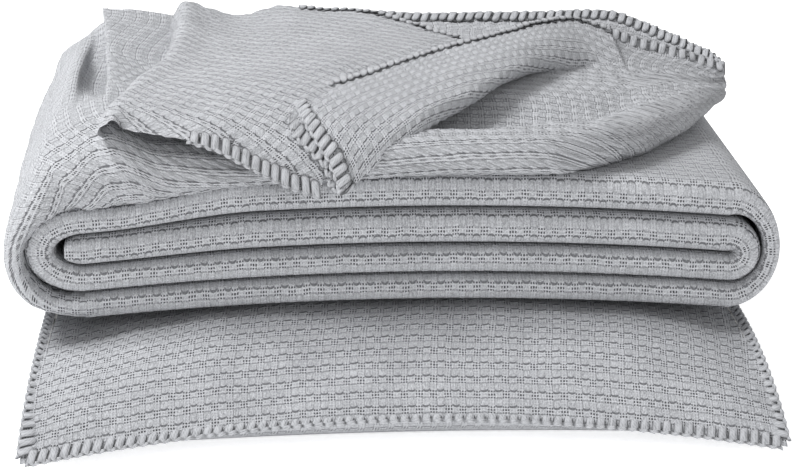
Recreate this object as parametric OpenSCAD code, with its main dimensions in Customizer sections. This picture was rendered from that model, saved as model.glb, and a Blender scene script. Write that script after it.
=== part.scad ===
// Folded throw on its matching cushion.
// +Z is up and -Y is the front, where the throw's rounded folds show.
// The origin is on the floor, under the middle of the cushion. All sizes are in millimetres.

/* [Cushion] */
// Width of the cushion cover, corner to corner
cushion_w = 485; // [420:1:600]
// Depth of the cushion cover, corner to corner
cushion_d = 485; // [420:1:600]
// Height of the crown under the middle of the throw
cushion_h = 75; // [55:1:110]
// How far the front edge bows in at its middle
front_bow = 25; // [0:1:40]
// How far the back edge bows in along the zip
back_bow = 14; // [0:1:40]
// How far the left and right edges bow in
side_bow = 14; // [0:1:40]
// Height of the seam at the four corners
corner_lift = 4; // [3.5:0.5:8]
// Rise of the front seam from its corners to its middle
front_seam_rise = 15; // [5:1:25]
// Rise of the back seam from its corners to the zip
back_seam_rise = 36; // [20:1:45]
// Room between the side seams and the throw above them
side_seam_room = 2; // [1:0.5:8]
// Share of the underside that lies flat on the floor
floor_share = 0.86; // [0.7:0.01:0.88]
// Thickness of the cover's cloth
cover_t = 3.2; // [2:0.1:3.4]
// Thickness of the insert's casing
casing_t = 0.8; // [0.5:0.1:1.5]
// Width of the stitched yarn outside the cover's seam
seam_edging_w = 2.4; // [1.5:0.1:4]

/* [Throw] */
// Width of the folded throw, over its two outer turns
stack_w = 507; // [430:1:620]
// Depth of the folded throw, front folds to back edges
fold_depth = 330; // [260:1:400]
// Distance from the cushion's front corners back to the front folds
front_setback = 92.5; // [60:0.5:120]
// How far the throw droops at its two ends
end_droop = 13.8; // [0:0.1:20]
// Thickness of the lowest leaf
bottom_leaf_t = 18.5; // [12:0.5:30]
// Thickness of the second leaf
lower_leaf_t = 19.5; // [12:0.5:30]
// Thickness of the middle leaf, where the fold starts
core_leaf_t = 24.5; // [14:0.5:32]
// Thickness of the fourth leaf
upper_leaf_t = 25; // [14:0.5:32]
// Thickness of the top leaf
top_leaf_t = 23; // [14:0.5:32]
// Thickness of the outer left turn at its furthest point
left_wrap_t = 15.5; // [10:0.5:25]
// Thickness of the outer right turn at its furthest point
right_wrap_t = 11.5; // [8:0.5:20]
// How far the core turn reaches past the end of its leaves
core_turn_reach = 23; // [15:0.5:30]
// Length of the rounded nose where the fold starts
nose_reach = 9; // [5:0.5:12]
// Width and height of the stitched yarn on the throw's edges
edging_w = 2.4; // [1.5:0.1:4]
edging_h = 5; // [3:0.5:8]

/* [Draped top] */
// How far the top leaf stops short of the stack's right end at the front
top_front_short = 93.5; // [55:0.5:130]
// How far the top leaf stops short of the stack's right end at the back
top_back_short = 8.5; // [4:0.5:45]
// Distance back over which that end runs aslant
top_slant = 235; // [150:1:255]
// Height of the loose plies above the top leaf
drape_t = 26; // [15:1:40]
// Radius of the roll-off along the drape's front and right
drape_round = 16; // [5:1:25]
// Width of each standing fold at the left
hump_w = 32; // [20:1:36]
// Height of the left standing fold
hump_outer_h = 44; // [25:1:60]
// Height of the right standing fold
hump_inner_h = 50; // [25:1:60]
// Thickness of the flap and of the fold tip that hang at the front
flap_t = 7; // [4:0.5:10]
// Width of the flap that hangs over the front folds
flap_w = 132; // [80:1:140]
// How far the flap hangs below the top leaf
flap_drop = 10; // [4:1:14]
// Width of the hanging fold tip beside the flap
fold_tip_w = 24; // [15:1:40]
// Thickness of the turned-back corner
corner_t = 11; // [6:0.5:15]
// Width of the turned-back corner, square to its fold
corner_w = 50; // [30:1:60]

/* [Zip] */
// Length of the zip in the back of the cover
zip_length = 280; // [180:1:290]
// Width of each zip tape that shows
zip_tape_w = 6; // [4:0.5:7]
// Width of the zip's coil
zip_coil_w = 5; // [4:0.5:6]
// Length of the slider along the zip
slider_l = 11; // [8:0.5:14]
// Length of the pull, from its pin
pull_l = 15; // [10:0.5:16]
// Radius of the pin that carries the pull
pull_pin_r = 0.7; // [0.5:0.05:0.9]

/* [Clearances] */
// Gap between the throw and the cushion, and between the top pieces
rest_gap = 0.4; // [0.3:0.1:1]
// Gap between neighbouring leaves and turns
leaf_gap = 0.3; // [0.2:0.1:0.6]
// Gap between an edging and the cloth it wraps
edging_gap = 0.3; // [0.2:0.1:0.6]
// Gap between the cover and its insert
insert_gap = 0.6; // [0.3:0.1:2]
// Gap between the zip's parts
zip_gap = 0.35; // [0.3:0.05:0.5]
// Radial clearance of the pull on its pin
pin_clear = 0.1; // [0.05:0.05:0.2]

/* [Hidden] */

cloth = "#a9abae";
cloth_light = "#b4b6b9";
yarn = "#96999d";
inner_cloth = "#e8e6e0";
zip_grey = "#8d9094";
metal = "#b9bcc0";

tiny = 0.01;
wide = 1000;
// Cells across the cover's grid, and steps along a leaf and round a turn
cells = 14;
leaf_steps = 24;
turn_steps = 20;
band_sides = 8;
// Plies of cloth in each leaf of the throw
plies = 4;

// Levels of the throw's leaves, lowest first
base_z = cushion_h + rest_gap;
level_1 = base_z + bottom_leaf_t;
level_2 = level_1 + lower_leaf_t;
level_3 = level_2 + core_leaf_t;
level_4 = level_3 + upper_leaf_t;
level_5 = level_4 + top_leaf_t;
drape_top = level_5 + rest_gap + drape_t;

// Front and back of the throw, and the ends of its straight leaves
stack_y0 = -cushion_d / 2 + front_setback;
stack_y1 = stack_y0 + fold_depth;
left_turn_r = (level_4 - level_1) / 2;
left_x = -stack_w / 2 + left_wrap_t + left_turn_r;
right_x = stack_w / 2 - right_wrap_t - core_turn_reach;

// The throw follows the cushion's crown, so its ends droop
function arch(x) = -end_droop * pow(2 * x / stack_w, 2);

// ---- Cushion surfaces: u runs left to right and v front to back, each from -1 to 1 ----
flat_power = 12;
full_power = 6;
seam_power = 4;
lift_power = 1.4;
side_seam_rise = cushion_h + arch(cushion_w / 2) - cover_t - corner_lift - side_seam_room;
function grid_t(i) = sin(90 * (2 * i / cells - 1));
function bow_y(u, v) = v < 0 ? front_bow * (1 - u * u) : back_bow * (1 - pow(u, flat_power));
function plan_x(u, v) = u * (cushion_w / 2 - side_bow * (1 - v * v));
function plan_y(u, v) = v * (cushion_d / 2 - bow_y(u, v));
function end_rise(u, v) =
    v < 0 ? front_seam_rise * (1 - u * u) : back_seam_rise * (1 - pow(u, flat_power));
function seam_z(u, v) =
    corner_lift + side_seam_rise * (1 - pow(v, seam_power)) * u * u + end_rise(u, v) * v * v;
function fullness(t) = 1 - pow(abs(t), full_power);
function top_z(u, v) =
    let (s = seam_z(u, v) + cover_t, crown = cushion_h + arch(plan_x(u, v)))
    s + (crown - s) * fullness(u) * fullness(v);
function lift(u, v) =
    pow(max(0, (max(abs(u), abs(v)) - floor_share) / (1 - floor_share)), lift_power);
function bottom_z(u, v) = (seam_z(u, v) - cover_t) * lift(u, v);
function top_point(u, v, drop, shrink) =
    [plan_x(u, v) * shrink, plan_y(u, v) * shrink, top_z(u, v) - drop];
function bottom_point(u, v, raise, shrink) =
    [plan_x(u, v) * shrink, plan_y(u, v) * shrink, bottom_z(u, v) + raise];

// Faces of a closed solid between an upper and a lower grid of m by m points
function cell_faces(m, base, up) = [
    for (i = [0:m - 2], j = [0:m - 2], half = [0, 1])
        let (
            a = base + i * m + j,
            b = a + m,
            t = half == 0 ? [a, a + 1, b + 1] : [a, b + 1, b]
        )
        up ? t : [t[2], t[1], t[0]]
];
function ring_index(m, k) =
    let (s = m - 1)
    k < s ? k : k < 2 * s ? (k - s) * m + s : k < 3 * s ? s * m + (3 * s - k) : (4 * s - k) * m;
function wall_faces(m) = [
    for (k = [0:4 * (m - 1) - 1], half = [0, 1])
        let (
            a = ring_index(m, k),
            b = ring_index(m, (k + 1) % (4 * (m - 1))),
            c = m * m
        )
        half == 0 ? [a, a + c, b] : [b, a + c, b + c]
];
module between_grids(upper, lower, m) {
    polyhedron(
        points = concat(upper, lower),
        faces = concat(cell_faces(m, 0, true), cell_faces(m, m * m, false), wall_faces(m))
    );
}
// The insert keeps two grid lines in from the seam, so its facets lie parallel to the cover's and
// it stays clear of the thin rim
module insert_form(inset) {
    shrink = 1 - 2 * inset / cushion_w;
    drop = cover_t + insert_gap + inset;
    inner = [2:cells - 2];
    between_grids(
        [for (i = inner, j = inner) top_point(grid_t(i), grid_t(j), drop, shrink)],
        [for (i = inner, j = inner) bottom_point(grid_t(i), grid_t(j), drop, shrink)],
        cells - 3
    );
}

// A band of yarn: an oval section at each point of a path, out along one axis
module yarn_band(path, out, half_w, half_h) {
    n = len(path);
    rings = [
        for (p = path, k = [0:band_sides - 1])
            let (a = 360 * k / band_sides)
            p + out * half_w * cos(a) + [0, 0, half_h * sin(a)]
    ];
    flip = cross(out, path[n - 1] - path[0]) * [0, 0, 1] > 0;
    sides = [
        for (i = [0:n - 2], k = [0:band_sides - 1], half = [0, 1])
            let (
                a = i * band_sides + k,
                b = i * band_sides + (k + 1) % band_sides,
                t = half == 0 ? [a, b, b + band_sides] : [a, b + band_sides, a + band_sides]
            )
            flip ? [t[2], t[1], t[0]] : t
    ];
    start = [for (k = [0:band_sides - 1]) k];
    finish = [for (k = [band_sides - 1:-1:0]) (n - 1) * band_sides + k];
    reverse_start = [for (k = [band_sides - 1:-1:0]) k];
    reverse_finish = [for (k = [0:band_sides - 1]) (n - 1) * band_sides + k];
    ends = flip ? [start, finish] : [reverse_start, reverse_finish];
    polyhedron(points = rings, faces = concat(sides, ends));
}
seam_out = edging_gap + seam_edging_w / 2;
function front_back_path(v) = [
    for (i = [0:cells])
        let (u = grid_t(i))
        [plan_x(u, v), plan_y(u, v) + v * seam_out, seam_z(u, v)]
];
function side_path(u) = [
    for (i = [0:cells])
        let (v = grid_t(i))
        [plan_x(u, v) + u * seam_out, plan_y(u, v), seam_z(u, v)]
];

// ---- Throw: outlines in the XZ plane, carried front to back ----
module carry_back(y0, y1) {
    translate([0, y1, 0]) rotate([90, 0, 0]) linear_extrude(y1 - y0) children();
}
function along(x0, x1, z) = [
    for (i = [0:leaf_steps]) let (x = x0 + (x1 - x0) * i / leaf_steps) [x, z + arch(x)]
];
// Half an oval, from its lowest point round to its highest; side is -1 for left, 1 for right
function half_oval(x, z, a, b, side, from, to) = [
    for (i = [0:turn_steps])
        let (t = from + (to - from) * i / turn_steps)
        [x + side * a * cos(t), z + b * sin(t)]
];
function reversed(list) = [for (i = [len(list) - 1:-1:0]) list[i]];
module leaf(x0, x1, z0, z1) {
    polygon(concat(along(x0, x1, z0 + leaf_gap / 2), reversed(along(x0, x1, z1 - leaf_gap / 2))));
}
// A turn from the leaf between out_z0 and in_z0 to the leaf between in_z1 and out_z1
module turn(x, side, out_z0, out_z1, out_a, in_z0, in_z1, in_a, from = -90, to = 90) {
    out_z = (out_z0 + out_z1) / 2 + arch(x);
    in_z = (in_z0 + in_z1) / 2 + arch(x);
    out_b = (out_z1 - out_z0 - leaf_gap) / 2;
    in_b = (in_z1 - in_z0 + leaf_gap) / 2;
    polygon(concat(
        half_oval(x, out_z, out_a, out_b, side, from, to),
        reversed(half_oval(x, in_z, in_a, in_b, side, from, to))
    ));
}
module nose(x, side, z0, z1, a) {
    polygon(half_oval(x, (z0 + z1) / 2 + arch(x), a, (z1 - z0 - leaf_gap) / 2, side, -90, 90));
}
module outer_left(from, to) {
    turn(left_x, -1, base_z, level_5, left_wrap_t + left_turn_r,
         level_1, level_4, left_turn_r + leaf_gap / 2, from, to);
}

// ---- Draped top ----
top_front_reach = stack_w / 2 - top_front_short;
top_back_reach = stack_w / 2 - top_back_short;
drape_x1 = top_back_reach - drape_round;
// Plan of the top leaf and the drape: their right end runs aslant
module top_plan(inset) {
    polygon([
        [-stack_w, stack_y0 + inset],
        [top_front_reach - inset, stack_y0 + inset],
        [top_back_reach - inset, stack_y0 + top_slant],
        [top_back_reach - inset, stack_y1 - inset],
        [-stack_w, stack_y1 - inset]
    ]);
}
hump_outer_x = left_x - hump_w / 2;
hump_inner_x = hump_outer_x + hump_w + rest_gap;
drape_x0 = hump_inner_x + hump_w + rest_gap;
hump_y0 = stack_y0 + drape_round;
hump_y1 = stack_y1 - drape_round;
function hump_x(x, t) = x + hump_w / 2 * (1 - cos(t));
module hump(x, height) {
    base = level_5 + rest_gap;
    foot = [for (i = [0:turn_steps]) let (q = x + hump_w * i / turn_steps) [q, base + arch(q)]];
    crown = [
        for (i = [turn_steps - 1:-1:1])
            let (t = 180 * i / turn_steps, q = hump_x(x, t))
            [q, base + arch(q) + height * sin(t)]
    ];
    carry_back(hump_y0, hump_y1) polygon(concat(foot, crown));
}

// The turned-back corner's fold runs aslant over the drape, from the front to the right
fold_x0 = -30;
fold_setback = 8;
fold_y0 = stack_y0 + fold_setback;
fold_angle = 46;
fold_length = 270;
corner_z = drape_top + rest_gap;
tip_back = 30;
far_trim = 40;
far_narrowing = 12;
module on_fold() {
    translate([fold_x0, fold_y0, corner_z]) rotate([0, 0, fold_angle]) children();
}
// Ends of the corner's free long edge, along and square to the fold
corner_near = [tip_back, corner_w];
corner_far = [fold_length, corner_w - far_narrowing];
module bar_between(a, b, offset_out, w, h) {
    d = b - a;
    translate([a[0], a[1], 0])
        rotate([0, 0, atan2(d[1], d[0])])
            translate([0, offset_out, 0]) cube([norm(d), w, h]);
}

// The front flap narrows to the right, where its stitched edge hangs lowest
flap_x1 = fold_x0 - fold_tip_w - edging_w - 2 * edging_gap;
flap_x0 = flap_x1 - flap_w;
flap_y1 = stack_y0 - rest_gap;
flap_z0 = level_4 - flap_drop;
flap_rise = 14;
flap_left_rise = 10;
flap_curve = 1.3;
flap_z1 = level_5 + flap_rise;
flap_left_z = level_5 + flap_left_rise;
function flap_edge(i) =
    let (t = i / leaf_steps)
    [flap_x0 + flap_w * t, flap_left_z + (flap_z0 - flap_left_z) * pow(t, flap_curve)];

// ---- Zip: drawn along the straight wall under the back seam ----
wall_low = [plan_y(0, grid_t(cells - 2)), bottom_z(0, grid_t(cells - 2))];
wall_high = [plan_y(0, grid_t(cells - 1)), bottom_z(0, grid_t(cells - 1))];
wall_mid = (wall_low + wall_high) / 2;
wall_angle = atan2(wall_high[1] - wall_low[1], wall_high[0] - wall_low[0]);
tape_t = 0.9;
coil_t = 2;
plate_t = 1.2;
flange_t = 1;
ear_t = 1;
barrel_wall = 0.8;
barrel_r = pull_pin_r + pin_clear + barrel_wall;
barrel_l = 4.4;
pull_headroom = 0.8;
pin_height = barrel_r + pull_headroom;
pull_w = 4;
pull_t = 1.2;
// Local frame: x along the zip, y up the wall, z out of the cushion
module on_wall() {
    translate([0, wall_mid[0], wall_mid[1]]) rotate([wall_angle, 0, 0]) mirror([0, 0, 1]) children();
}
slider_x = zip_length / 2 - slider_l;
plate_z = 2 * zip_gap + coil_t;
pin_z = plate_z + plate_t + pin_height;
pull_x = slider_x + slider_l / 2;
module zip_strip(y, w, z, t) {
    on_wall() translate([-zip_length / 2, y, z]) cube([zip_length, w, t]);
}

// ==== Cushion pieces ====
module top_panel() {
    color(cloth)
        between_grids(
            [for (i = [0:cells], j = [0:cells]) top_point(grid_t(i), grid_t(j), 0, 1)],
            [for (i = [0:cells], j = [0:cells]) top_point(grid_t(i), grid_t(j), cover_t, 1)],
            cells + 1
        );
}
module bottom_panel() {
    color(cloth)
        between_grids(
            [for (i = [0:cells], j = [0:cells]) bottom_point(grid_t(i), grid_t(j), cover_t, 1)],
            [for (i = [0:cells], j = [0:cells]) bottom_point(grid_t(i), grid_t(j), 0, 1)],
            cells + 1
        );
}
module insert_casing() {
    color(inner_cloth) difference() {
        insert_form(0);
        insert_form(casing_t);
    }
}
module filling() {
    color("white") insert_form(casing_t + insert_gap);
}
module front_seam_edging() {
    color(yarn) yarn_band(front_back_path(-1), [0, 1, 0], seam_edging_w / 2, cover_t);
}
module back_seam_edging() {
    color(yarn) yarn_band(front_back_path(1), [0, 1, 0], seam_edging_w / 2, cover_t);
}
module left_seam_edging() {
    color(yarn) yarn_band(side_path(-1), [1, 0, 0], seam_edging_w / 2, cover_t);
}
module right_seam_edging() {
    color(yarn) yarn_band(side_path(1), [1, 0, 0], seam_edging_w / 2, cover_t);
}
module zip_tape_upper() {
    color(zip_grey) zip_strip(zip_coil_w / 2 + zip_gap, zip_tape_w, zip_gap, tape_t);
}
module zip_tape_lower() {
    color(zip_grey) zip_strip(-zip_coil_w / 2 - zip_gap - zip_tape_w, zip_tape_w, zip_gap, tape_t);
}
module zip_coil() {
    color(zip_grey) zip_strip(-zip_coil_w / 2, zip_coil_w, zip_gap, coil_t);
}
module zip_slider() {
    half_w = zip_coil_w / 2 + zip_gap + flange_t;
    flange_z = 2 * zip_gap + tape_t;
    color(metal) on_wall() {
        translate([slider_x, -half_w, plate_z]) cube([slider_l, 2 * half_w, plate_t]);
        for (side = [-1, 1])
            translate([slider_x, side * (half_w - flange_t / 2) - flange_t / 2, flange_z])
                cube([slider_l, flange_t, plate_z + tiny - flange_z]);
        for (side = [-1, 1])
            translate([pull_x - barrel_r, side * (barrel_l / 2 + zip_gap + ear_t / 2) - ear_t / 2,
                       plate_z + plate_t - tiny])
                cube([2 * barrel_r, ear_t, pin_height + pull_pin_r + tiny]);
        translate([pull_x, 0, pin_z])
            rotate([90, 0, 0])
                cylinder(h = barrel_l + 2 * zip_gap + tiny, r = pull_pin_r, center = true, $fn = 24);
    }
}
module zip_pull() {
    color(metal) on_wall() translate([pull_x, 0, pin_z]) difference() {
        union() {
            rotate([90, 0, 0]) cylinder(h = barrel_l, r = barrel_r, center = true, $fn = 24);
            translate([-pull_t / 2, -pull_w / 2, 0]) cube([pull_t, pull_w, pull_l]);
        }
        rotate([90, 0, 0])
            cylinder(h = barrel_l + 1, r = pull_pin_r + pin_clear, center = true, $fn = 24);
    }
}

// ==== Throw pieces: one strip of cloth, folded four plies deep and rolled flat ====
module bottom_leaf() {
    color(cloth) carry_back(stack_y0, stack_y1) leaf(left_x, right_x, base_z, level_1);
}
module lower_leaf() {
    color(cloth_light) carry_back(stack_y0, stack_y1) leaf(left_x, right_x, level_1, level_2);
}
module core_leaf() {
    mid = (level_2 + level_3) / 2 + arch(left_x);
    half = (level_3 - level_2 - leaf_gap) / 2;
    nose_points = half_oval(left_x, mid, nose_reach, half, -1, 90, -90);
    color(cloth) carry_back(stack_y0, stack_y1)
        polygon(concat(
            along(left_x, right_x, level_2 + leaf_gap / 2),
            reversed(along(left_x, right_x, level_3 - leaf_gap / 2)),
            [for (i = [1:turn_steps - 1]) nose_points[i]]
        ));
}
module upper_leaf() {
    color(cloth_light) carry_back(stack_y0, stack_y1) leaf(left_x, right_x, level_3, level_4);
}
module core_turn() {
    color(cloth) carry_back(stack_y0, stack_y1) nose(right_x, 1, level_1, level_3, core_turn_reach);
}
module inner_left_turn() {
    color(cloth_light) carry_back(stack_y0, stack_y1)
        turn(left_x, -1, level_1, level_4, left_turn_r - leaf_gap / 2,
             level_2, level_3, nose_reach + leaf_gap);
}
module outer_right_turn() {
    color(cloth_light) carry_back(stack_y0, stack_y1)
        turn(right_x, 1, base_z, level_4, core_turn_reach + right_wrap_t,
             level_1, level_3, core_turn_reach + leaf_gap);
}
module outer_left_turn() {
    color(cloth) carry_back(stack_y0, stack_y1) outer_left(-90, 0);
}
module opening_turn() {
    color(cloth) carry_back(stack_y0, stack_y1) outer_left(0, 90);
}
module edge_strip(x0, x1, z0, z1) {
    mid = (z0 + z1) / 2;
    carry_back(stack_y1 + edging_gap, stack_y1 + edging_gap + edging_w)
        polygon(concat(along(x0, x1, mid - edging_h / 2), reversed(along(x0, x1, mid + edging_h / 2))));
}
module back_edging() {
    color(yarn) {
        edge_strip(left_x, right_x, base_z, level_1);
        edge_strip(left_x, right_x, level_1, level_2);
        edge_strip(left_x, right_x, level_2, level_3);
        edge_strip(left_x, right_x, level_3, level_4);
    }
}
module top_leaf() {
    color(cloth) intersection() {
        carry_back(stack_y0, stack_y1) leaf(left_x, top_back_reach, level_4, level_5);
        linear_extrude(wide) top_plan(0);
    }
}
module top_back_edging() {
    color(yarn) edge_strip(left_x, top_back_reach, level_4, level_5);
}
module draped_plies() {
    low = level_5 + rest_gap;
    ply = drape_t / plies;
    color(cloth_light) for (i = [0:plies - 1])
        intersection() {
            carry_back(stack_y0, stack_y1)
                polygon(concat(
                    along(drape_x0, top_back_reach, low + i * ply),
                    reversed(along(drape_x0, top_back_reach, low + (i + 1) * ply))
                ));
            linear_extrude(wide) top_plan(drape_round * (1 - cos(90 * i / plies)) + tiny);
        }
}
module hump_outer() {
    color(cloth) hump(hump_outer_x, hump_outer_h);
}
module hump_inner() {
    color(cloth_light) hump(hump_inner_x, hump_inner_h);
}
module front_flap() {
    color(cloth_light) carry_back(flap_y1 - flap_t, flap_y1)
        polygon(concat([for (i = [0:leaf_steps]) flap_edge(i)], [[flap_x1, flap_z1], [flap_x0, flap_z1]]));
}
module flap_edging() {
    color(yarn) carry_back(flap_y1 - flap_t, flap_y1)
        polygon(concat(
            [for (i = [0:leaf_steps]) flap_edge(i) - [0, edging_gap]],
            [for (i = [leaf_steps:-1:0]) flap_edge(i) - [0, edging_gap + edging_w]]
        ));
}
module corner_fold_tip() {
    color(cloth) carry_back(flap_y1 - flap_t, flap_y1)
        polygon([
            [fold_x0 - fold_tip_w, flap_z1],
            [fold_x0 - fold_tip_w, flap_z0 + fold_tip_w / 2],
            [fold_x0 - fold_tip_w / 2, flap_z0],
            [fold_x0, flap_z0 + fold_tip_w / 2],
            [fold_x0, flap_z1]
        ]);
}
module far_edging() {
    color(yarn) carry_back(stack_y1 + edging_gap, stack_y1 + edging_gap + edging_w)
        polygon(concat(
            along(0, drape_x1, drape_top - edging_h - rest_gap),
            reversed(along(0, drape_x1, drape_top - rest_gap))
        ));
}
module turned_corner() {
    color(cloth) on_fold() linear_extrude(corner_t)
        polygon([[0, edging_gap], corner_near, corner_far, [fold_length - far_trim, edging_gap]]);
}
module corner_long_edging() {
    color(yarn) on_fold()
        bar_between(corner_near, corner_far, edging_gap, edging_w, edging_h);
}
module corner_short_edging() {
    color(yarn) on_fold()
        bar_between([0, edging_gap], corner_near, edging_gap, edging_w, edging_h);
}

top_panel();
bottom_panel();
insert_casing();
filling();
front_seam_edging();
back_seam_edging();
left_seam_edging();
right_seam_edging();
zip_tape_upper();
zip_tape_lower();
zip_coil();
zip_slider();
zip_pull();
bottom_leaf();
lower_leaf();
core_leaf();
upper_leaf();
core_turn();
inner_left_turn();
outer_right_turn();
outer_left_turn();
opening_turn();
back_edging();
top_leaf();
draped_plies();
hump_outer();
hump_inner();
front_flap();
corner_fold_tip();
flap_edging();
far_edging();
top_back_edging();
turned_corner();
corner_long_edging();
corner_short_edging();
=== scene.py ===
import math
import bpy
import numpy as np
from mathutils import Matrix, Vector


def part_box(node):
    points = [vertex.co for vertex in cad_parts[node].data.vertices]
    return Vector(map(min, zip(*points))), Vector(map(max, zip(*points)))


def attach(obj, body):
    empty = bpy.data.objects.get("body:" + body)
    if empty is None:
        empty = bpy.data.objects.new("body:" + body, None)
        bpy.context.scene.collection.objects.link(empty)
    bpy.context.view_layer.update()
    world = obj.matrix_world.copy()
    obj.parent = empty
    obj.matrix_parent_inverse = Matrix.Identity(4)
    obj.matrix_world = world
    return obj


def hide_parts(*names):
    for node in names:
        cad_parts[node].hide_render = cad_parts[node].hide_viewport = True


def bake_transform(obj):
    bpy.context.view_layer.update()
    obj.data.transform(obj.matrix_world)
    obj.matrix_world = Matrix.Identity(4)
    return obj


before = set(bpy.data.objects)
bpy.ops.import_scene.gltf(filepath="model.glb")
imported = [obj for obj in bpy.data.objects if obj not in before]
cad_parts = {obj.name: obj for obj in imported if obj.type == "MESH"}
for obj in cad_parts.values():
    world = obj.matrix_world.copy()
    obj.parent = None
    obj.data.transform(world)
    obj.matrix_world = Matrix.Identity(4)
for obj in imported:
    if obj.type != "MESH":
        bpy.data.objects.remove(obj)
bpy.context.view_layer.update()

mm = 0.001


def boxOf(node):  # lowest and highest corner as arrays
    low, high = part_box(node)
    return np.array(low), np.array(high)


def crownOf(node):  # height of a leaf's top at the middle of the stack
    return float(boxOf(node)[1][2])


# The stack's own measures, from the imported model
stackHalfWidth = float(boxOf("outer_right_turn")[1][0])
frontY = float(boxOf("bottom_leaf")[0][1])
backY = float(boxOf("bottom_leaf")[1][1])
leftX = float(boxOf("bottom_leaf")[0][0])
rightX = float(boxOf("bottom_leaf")[1][0])
restGap = 0.4 * mm
restLevel = crownOf("top_panel") + restGap
levels = {"bottom_leaf": (restLevel, crownOf("bottom_leaf")),
          "lower_leaf": (crownOf("bottom_leaf"), crownOf("lower_leaf")),
          "core_leaf": (crownOf("lower_leaf"), crownOf("core_leaf")),
          "upper_leaf": (crownOf("core_leaf"), crownOf("upper_leaf"))}
upperCrown = crownOf("upper_leaf")
endDroop = 13.8 * mm


def archDrop(x):
    # the stack lies on a crowned cushion: a parabola, nothing at the middle and endDroop at the ends
    return -endDroop * (x / stackHalfWidth) ** 2


leftSag = {"bottom_leaf": 0.0, "lower_leaf": 1.5 * mm, "core_leaf": 5.0 * mm, "upper_leaf": 11.5 * mm}
# where the pressing begins left of the middle, and over what length
sagStart, sagLength = 90 * mm, 100 * mm


def leafLevels(node, x):
    # bottom and top of a leaf: its crown less the arch, and at the left the leaves are pressed
    # down by the wrap, more so higher up (a smooth step along sagLength)
    order = list(leftSag)
    place = order.index(node)
    sagLow = leftSag[order[place - 1]] if place else 0.0
    share = np.clip((-np.asarray(x, float) - sagStart) / sagLength, 0, 1)
    share = share * share * (3 - 2 * share)
    low, high = levels[node]
    return low + archDrop(x) - sagLow * share, high + archDrop(x) - leftSag[node] * share


print("measures read")

cloth = {
    "pitchU": 9.3 * mm,        # one puffy block of the weave and its open stripe, along the length
    "pitchV": 10.6 * mm,       # the same across the length
    "relief": 1.1 * mm,        # how far a block stands above its stripes
    "light": (0.545, 0.555, 0.58, 1),
    # dark is the fibres' darker tone, and also the painted shade of the block arcs and the stitch grooves
    "dark": (0.17, 0.174, 0.186, 1),
    # near black: the painted shade seen inside the holes between the thin yarns
    "holeShade": (0.012, 0.012, 0.014, 1),
}


def wireMath(tree, operation, first, second=None, clamp=False):
    node = tree.nodes.new("ShaderNodeMath")
    node.operation = operation
    node.use_clamp = clamp
    for socket, value in zip(node.inputs, (first, second)):
        if value is None:
            continue
        if isinstance(value, (int, float)):
            socket.default_value = value
        else:
            tree.links.new(value, socket)
    return node.outputs[0]


def wireRange(tree, value, low, high, toLow=0.0, toHigh=1.0):  # a smooth step from low to high
    node = tree.nodes.new("ShaderNodeMapRange")
    node.interpolation_type = "SMOOTHSTEP"
    tree.links.new(value, node.inputs["Value"])
    node.inputs["From Min"].default_value = low
    node.inputs["From Max"].default_value = high
    node.inputs["To Min"].default_value = toLow
    node.inputs["To Max"].default_value = toHigh
    return node.outputs["Result"]


def wireMix(tree, factor, first, second):
    node = tree.nodes.new("ShaderNodeMix")
    node.data_type = "RGBA"
    tree.links.new(factor, node.inputs["Factor"])
    for socket, value in ((node.inputs[6], first), (node.inputs[7], second)):
        if isinstance(value, tuple):
            socket.default_value = value
        else:
            tree.links.new(value, socket)
    return node.outputs[2]


def wireNoise(tree, vector, scale, detail=2.0):
    node = tree.nodes.new("ShaderNodeTexNoise")
    node.inputs["Scale"].default_value = scale
    node.inputs["Detail"].default_value = detail
    tree.links.new(vector, node.inputs["Vector"])
    return node.outputs["Fac"]


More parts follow.
